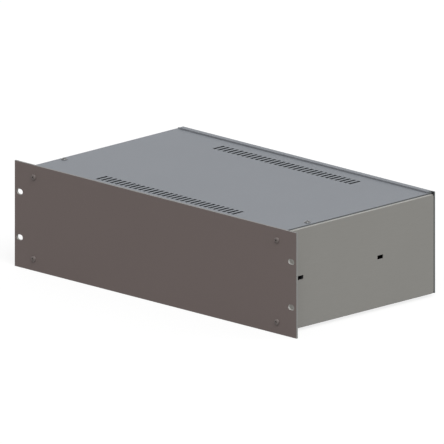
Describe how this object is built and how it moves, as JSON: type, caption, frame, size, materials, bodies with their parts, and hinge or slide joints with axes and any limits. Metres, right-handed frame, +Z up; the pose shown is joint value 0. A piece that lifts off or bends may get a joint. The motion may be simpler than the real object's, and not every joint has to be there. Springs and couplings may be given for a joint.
{
  "type": "rack plug-in chassis",
  "caption": "Closed sheet-metal rack chassis with a wide slotted-ear front panel, folded side walls, a vented top cover, a plain base and a lipped rear panel.",
  "frame": {"origin": "middle of the chassis's footprint, level with the front panel's bottom edge", "axes": "+X along the front panel, -Y the side of the front panel, +Z up"},
  "size_m": [0.4826, 0.264, 0.1325],
  "materials": {
    "panel_aluminium": "fine matt, dark warm grey",
    "side_aluminium": "satin, mid grey",
    "cover_sheet": "satin, cool grey",
    "screw_steel": "plated",
    "nut_steel": "plated"
  },
  "bodies": {
    "root": {"front_panel": "panel_aluminium", "left_side_wall": "side_aluminium", "right_side_wall": "side_aluminium", "top_cover": "cover_sheet", "base_plate": "cover_sheet", "rear_panel": "cover_sheet", "front_panel_screws": "screw_steel", "rear_panel_screws": "screw_steel", "top_cover_screws": "screw_steel", "base_plate_screws": "screw_steel", "left_front_nuts": "nut_steel", "left_rear_nuts": "nut_steel", "left_top_nut": "nut_steel", "left_bottom_nuts": "nut_steel", "right_front_nuts": "nut_steel", "right_rear_nuts": "nut_steel", "right_top_nut": "nut_steel", "right_bottom_nuts": "nut_steel"}
  },
  "joints": []
}
